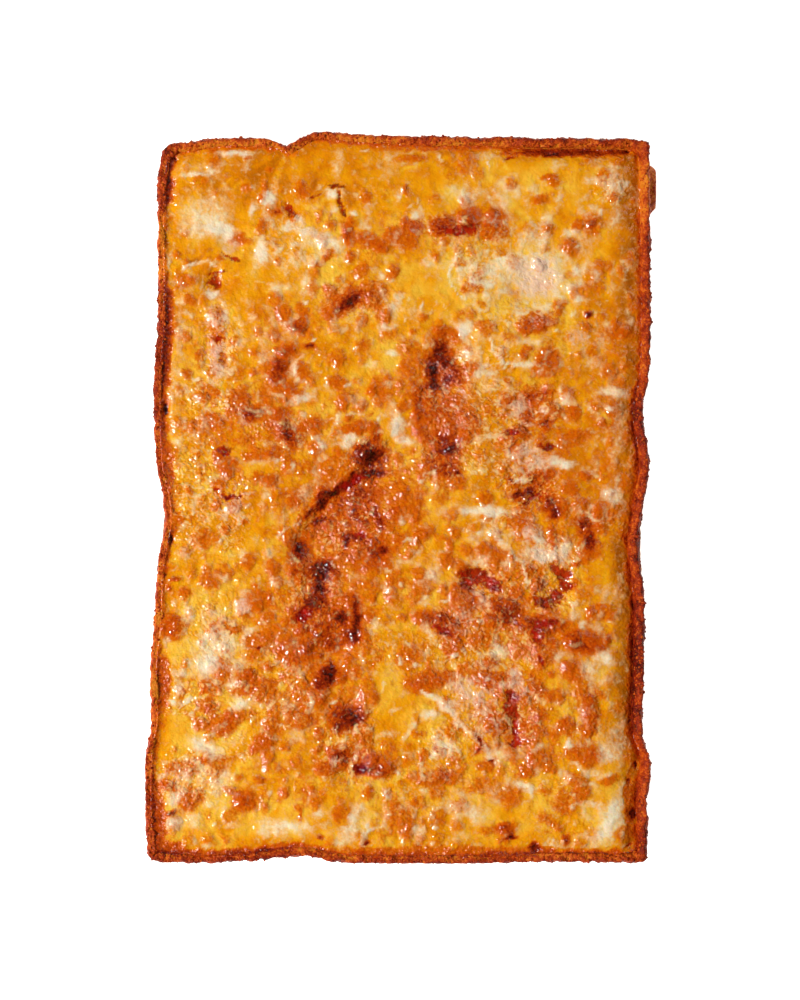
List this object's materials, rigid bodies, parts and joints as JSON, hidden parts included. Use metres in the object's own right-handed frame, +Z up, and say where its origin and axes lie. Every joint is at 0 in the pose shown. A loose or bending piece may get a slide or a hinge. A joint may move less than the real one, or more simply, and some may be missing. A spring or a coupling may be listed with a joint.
{
  "type": "rectangular cheese pan pizza",
  "caption": "Whole rectangular pan pizza: a thick crust with a wavy rim of fried cheese on all sides, filled to near the rim with browned melted cheese.",
  "frame": {"origin": "middle of the flat underside", "axes": "+Z up out of the cheese, +Y along the long side, +X along the short side"},
  "size_m": [0.2336, 0.3338, 0.0317],
  "materials": {
    "crust": "rough, oily in places",
    "cheese": "greasy, with browned blisters"
  },
  "bodies": {
    "root": {"crust": "crust", "cheese": "cheese"}
  },
  "joints": []
}
